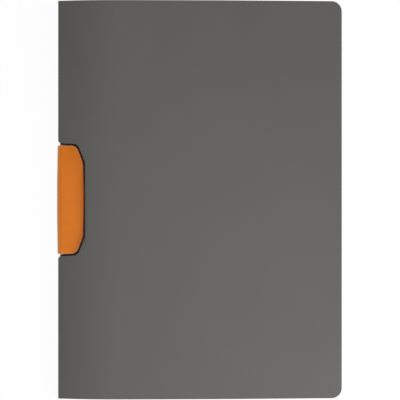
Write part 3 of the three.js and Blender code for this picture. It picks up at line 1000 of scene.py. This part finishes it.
def roughness(tree, shader, cloud, grain, low, high, ripple):
    """Wanders from low to high with the cloud, with the grain as a ripple on it."""
    rough = add(tree, across(tree, cloud, low, high), across(tree, grain, -1, 1), ripple)
    tree.links.new(rough, shader.inputs["Roughness"])


def bump(tree, shader, height, distance, strength):
    made = node(tree, "ShaderNodeBump")
    made.inputs["Distance"].default_value = distance * MM
    made.inputs["Strength"].default_value = strength
    tree.links.new(height, made.inputs["Height"])
    tree.links.new(made.outputs["Normal"], shader.inputs["Normal"])


def mixed(tree, factor, first, second):
    """A blend of two colours. Each one is a triple or another node's output."""
    mix = node(tree, "ShaderNodeMix", data_type="RGBA")
    tree.links.new(factor, mix.inputs["Factor"])
    sockets = [s for s in mix.inputs if s.type == "RGBA"]
    for socket, colour in zip(sockets, (first, second)):
        if isinstance(colour, tuple):
            socket.default_value = (*colour, 1)
        else:
            tree.links.new(colour, socket)
    return [s for s in mix.outputs if s.type == "RGBA"][0]


def two_tone(tree, source, tones):
    """A blend of two colours that follows a noise."""
    return mixed(tree, across(tree, source, 0, 1), *tones)


def coloured(tree, shader, colour):
    tree.links.new(colour, shader.inputs["Base Color"])


# Pale edges: wear on every material that uses this, and on the cover and the clip also a painted highlight
def edge_wear_and_highlight(tree, radius, spots):
    """Goes up to 1 on edges sharper than the radius in millimetres, broken up by the spots."""
    softened = node(tree, "ShaderNodeBevel", samples=4)
    softened.inputs["Radius"].default_value = radius * MM
    surface = node(tree, "ShaderNodeNewGeometry")
    alike = node(tree, "ShaderNodeVectorMath", operation="DOT_PRODUCT")
    tree.links.new(softened.outputs["Normal"], alike.inputs[0])
    tree.links.new(surface.outputs["Normal"], alike.inputs[1])
    edge = ramp(tree, alike.outputs["Value"], *WEAR_AND_HIGHLIGHT_SPAN, 0, 1)
    return times(tree, edge, ramp(tree, spots, *WEAR_AND_HIGHLIGHT_SPOTS, LEAST_WEAR_AND_HIGHLIGHT, 1))


def turned_along(tree, axis, low, high):
    """Goes from 0 to 1 as the piece's surface turns from low to high along one of the piece's own axes."""
    parts = node(tree, "ShaderNodeSeparateXYZ")
    tree.links.new(node(tree, "ShaderNodeTexCoord").outputs["Normal"], parts.inputs[0])
    return ramp(tree, parts.outputs[axis], low, high, 0, 1)


def cover_material():
    """Extruded plastic sheet with a fine pressed grain, paler on its edges: partly rubbed wear, partly a
    painted highlight where the edges catch light.
    """
    material, tree, shader = new_material("cover_sheet")
    vector = coordinates(tree)
    cloud = noise(tree, vector, scale=0.02, detail=3)
    fleck = noise(tree, vector, scale=4.0)
    grain = noise(tree, vector, scale=3.2, detail=3, roughness=0.6)
    pebble = node(tree, "ShaderNodeTexVoronoi", feature="SMOOTH_F1", Scale=1.9, Smoothness=0.6)
    tree.links.new(vector, pebble.inputs["Vector"])
    slow = ramp(tree, cloud, *COVER_CLOUD_SPAN, 0.2, 0.8)
    tone = add(tree, slow, across(tree, fleck, -1, 1), weight=0.16)
    base = mixed(tree, tone, *COVER_TONES)
    # The paler edges are partly wear and partly a painted highlight where the cut edges catch light
    coloured(tree, shader, mixed(tree, edge_wear_and_highlight(tree, radius=0.6, spots=fleck), base, COVER_EDGE_WEAR_AND_HIGHLIGHT))
    shader.inputs["Specular IOR Level"].default_value = 0.15
    roughness(tree, shader, cloud, grain, low=0.35, high=0.41, ripple=0.03)
    height = add(tree, grain, pebble.outputs["Distance"], weight=0.8)
    bump(tree, shader, height, distance=0.03, strength=0.35)
    return material


def clip_material():
    """Orange moulded plastic, satin, with a fine eroded texture.

    Its spine-facing barrel side is painted paler, a painted reflection of bright surroundings. Its edges are
    paler with wear and a painted highlight. Its front-facing edge is painted deeper, as painted shade.
    """
    material, tree, shader = new_material("clip_plastic")
    vector = coordinates(tree)
    cloud = noise(tree, vector, scale=0.06)
    fleck = noise(tree, vector, scale=1.4, detail=3)
    grain = noise(tree, vector, scale=5.0, detail=3, roughness=0.6)
    base = two_tone(tree, cloud, CLIP_TONES)
    # Painted reflection: the barrel's spine-facing side is painted paler, standing in for a reflection of
    # bright surroundings
    base = mixed(tree, turned_along(tree, "X", low=-0.1, high=-0.9), base, CLIP_BARREL_PAINTED_REFLECTION)
    # Painted shade: the front-facing edge is painted a deeper, darker orange
    base = mixed(tree, turned_along(tree, "X", low=0.12, high=0.7), base, CLIP_FRONT_PAINTED_SHADE)
    # Edges paler with wear and a painted highlight, kept off the front-facing side, which carries painted
    # shade instead
    away_from_shaded_front = turned_along(tree, "X", low=0.6, high=0.15)
    wear_and_highlight = times(tree, edge_wear_and_highlight(tree, radius=1.6, spots=fleck), away_from_shaded_front)
    coloured(tree, shader, mixed(tree, wear_and_highlight, base, CLIP_EDGE_WEAR_AND_HIGHLIGHT))
    shader.inputs["Sheen Weight"].default_value = 0.12
    shader.inputs["Sheen Roughness"].default_value = 0.35
    shader.inputs["Specular IOR Level"].default_value = 0.15
    roughness(tree, shader, cloud, grain, low=0.46, high=0.52, ripple=0.04)
    bump(tree, shader, grain, distance=0.02, strength=0.3)
    return material


def black_material():
    """Black moulded plastic, a little grey where its edges are rubbed."""
    material, tree, shader = new_material("black_plastic")
    vector = coordinates(tree)
    cloud = noise(tree, vector, scale=0.15)
    grain = noise(tree, vector, scale=4.0, detail=3, roughness=0.6)
    base = two_tone(tree, cloud, BLACK_TONES)
    coloured(tree, shader, mixed(tree, edge_wear_and_highlight(tree, radius=0.3, spots=grain), base, BLACK_RUBBED))
    shader.inputs["Specular IOR Level"].default_value = 0.2
    roughness(tree, shader, cloud, grain, low=0.45, high=0.55, ripple=0.05)
    bump(tree, shader, grain, distance=0.02, strength=0.35)
    return material


def steel_material():
    """Bright rolled steel, with its lines along the spine."""
    material, tree, shader = new_material("spring_steel")
    lines = noise(tree, coordinates(tree, STEEL_STRETCH), scale=1.0, detail=3, roughness=0.65)
    cloud = noise(tree, coordinates(tree), scale=0.3)
    coloured(tree, shader, two_tone(tree, lines, STEEL_TONES))
    shader.inputs["Metallic"].default_value = 1.0
    roughness(tree, shader, cloud, lines, low=0.26, high=0.36, ripple=0.05)
    bump(tree, shader, lines, distance=0.006, strength=0.3)
    return material


def rubber_material():
    """Dark rubber, matt and a little rough."""
    material, tree, shader = new_material("grip_rubber")
    vector = coordinates(tree)
    grain = noise(tree, vector, scale=6.0, detail=3, roughness=0.6)
    cloud = noise(tree, vector, scale=0.4)
    coloured(tree, shader, two_tone(tree, cloud, RUBBER_TONES))
    roughness(tree, shader, cloud, grain, low=0.75, high=0.85, ripple=0.05)
    bump(tree, shader, grain, distance=0.04, strength=0.5)
    return material


# Floor, world and lamps

WORLD_LIGHT = 0.26
LAMPS = {
    "top_lamp": dict(azimuth=-84, elevation=81, distance=1513, size=1400, watts=14.6, shine=True),
    "foot_lamp": dict(azimuth=-50, elevation=22, distance=560, size=130, watts=1.4),
    "side_lamp": dict(azimuth=12, elevation=9.5, distance=2000, size=500, watts=31),
    "spine_lamp": dict(azimuth=180, elevation=20, distance=1500, size=400, watts=0.8),
}
FLOOR_DROP = 0.15
FLOOR_SIDE = 3000.0
FLOOR_COLOUR = (0.9, 0.9, 0.9)
FLOOR_CLEAR = 0.93


def seen_directly(tree):
    """1 on rays from the camera, off gloss and through glass."""
    path = node(tree, "ShaderNodeLightPath")
    first = node(tree, "ShaderNodeMath", operation="MAXIMUM")
    both = node(tree, "ShaderNodeMath", operation="MAXIMUM")
    tree.links.new(path.outputs["Is Camera Ray"], first.inputs[0])
    tree.links.new(path.outputs["Is Glossy Ray"], first.inputs[1])
    tree.links.new(first.outputs[0], both.inputs[0])
    tree.links.new(path.outputs["Is Transmission Ray"], both.inputs[1])
    return both.outputs[0]


def make_floor():
    """A white floor that keeps a faint shadow. Direct looks pass through most of it to the white world."""
    half = FLOOR_SIDE / 2 * MM
    bm = bmesh.new()
    corners = [(-half, -half), (half, -half), (half, half), (-half, half)]
    bm.faces.new([bm.verts.new((x, y, -FLOOR_DROP * MM)) for x, y in corners])
    floor = object_of(bm, "floor")
    material = bpy.data.materials.new("floor")
    material.use_nodes = True
    tree = material.node_tree
    tree.nodes.clear()
    paper = node(tree, "ShaderNodeBsdfDiffuse")
    paper.inputs["Color"].default_value = (*FLOOR_COLOUR, 1)
    clear = node(tree, "ShaderNodeBsdfTransparent")
    mix = node(tree, "ShaderNodeMixShader")
    output = node(tree, "ShaderNodeOutputMaterial")
    share = node(tree, "ShaderNodeMath", operation="MULTIPLY")
    share.inputs[1].default_value = FLOOR_CLEAR
    tree.links.new(seen_directly(tree), share.inputs[0])
    tree.links.new(share.outputs[0], mix.inputs[0])
    tree.links.new(paper.outputs[0], mix.inputs[1])
    tree.links.new(clear.outputs[0], mix.inputs[2])
    tree.links.new(mix.outputs[0], output.inputs[0])
    floor.data.materials.append(material)


def make_world():
    world = bpy.data.worlds.new("world")
    bpy.context.scene.world = world
    world.use_nodes = True
    tree = world.node_tree
    tree.nodes.clear()
    lighting = node(tree, "ShaderNodeBackground", Color=(1, 1, 1, 1), Strength=WORLD_LIGHT)
    shown = node(tree, "ShaderNodeBackground", Color=(1, 1, 1, 1), Strength=1.0)
    mix = node(tree, "ShaderNodeMixShader")
    output = node(tree, "ShaderNodeOutputWorld")
    tree.links.new(seen_directly(tree), mix.inputs[0])
    tree.links.new(lighting.outputs[0], mix.inputs[1])
    tree.links.new(shown.outputs[0], mix.inputs[2])
    tree.links.new(mix.outputs[0], output.inputs[0])


def area_lamp(name, azimuth, elevation, distance, size, watts, shine=False):
    """A round lamp aimed at the middle, with its azimuth from +x and its elevation in degrees."""
    data = bpy.data.lights.new(name, "AREA")
    data.shape = "DISK"
    data.size = size * MM
    data.energy = watts
    lamp = bpy.data.objects.new(name, data)
    bpy.context.scene.collection.objects.link(lamp)
    around = math.radians(azimuth)
    up = math.radians(elevation)
    towards = Vector((math.cos(up) * math.cos(around), math.cos(up) * math.sin(around), math.sin(up)))
    lamp.location = towards * (distance * MM)
    lamp.rotation_mode = "QUATERNION"
    lamp.rotation_quaternion = (-towards).to_track_quat("-Z", "Y")
    lamp.visible_camera = False
    lamp.visible_glossy = shine


def make_light():
    make_world()
    for name, values in LAMPS.items():
        area_lamp(name, **values)


scene = bpy.context.scene
scene.view_settings.view_transform = "Standard"
make_camera()
cover = cover_material()
steel = steel_material()
black = black_material()
rubber = rubber_material()
make_cover(cover)
make_jaw(clip_material())
make_springs(steel)
make_retainer(black)
make_grip(rubber)
make_base(black, rubber)
make_bar(steel)
make_rivets(steel)
make_floor()
make_light()
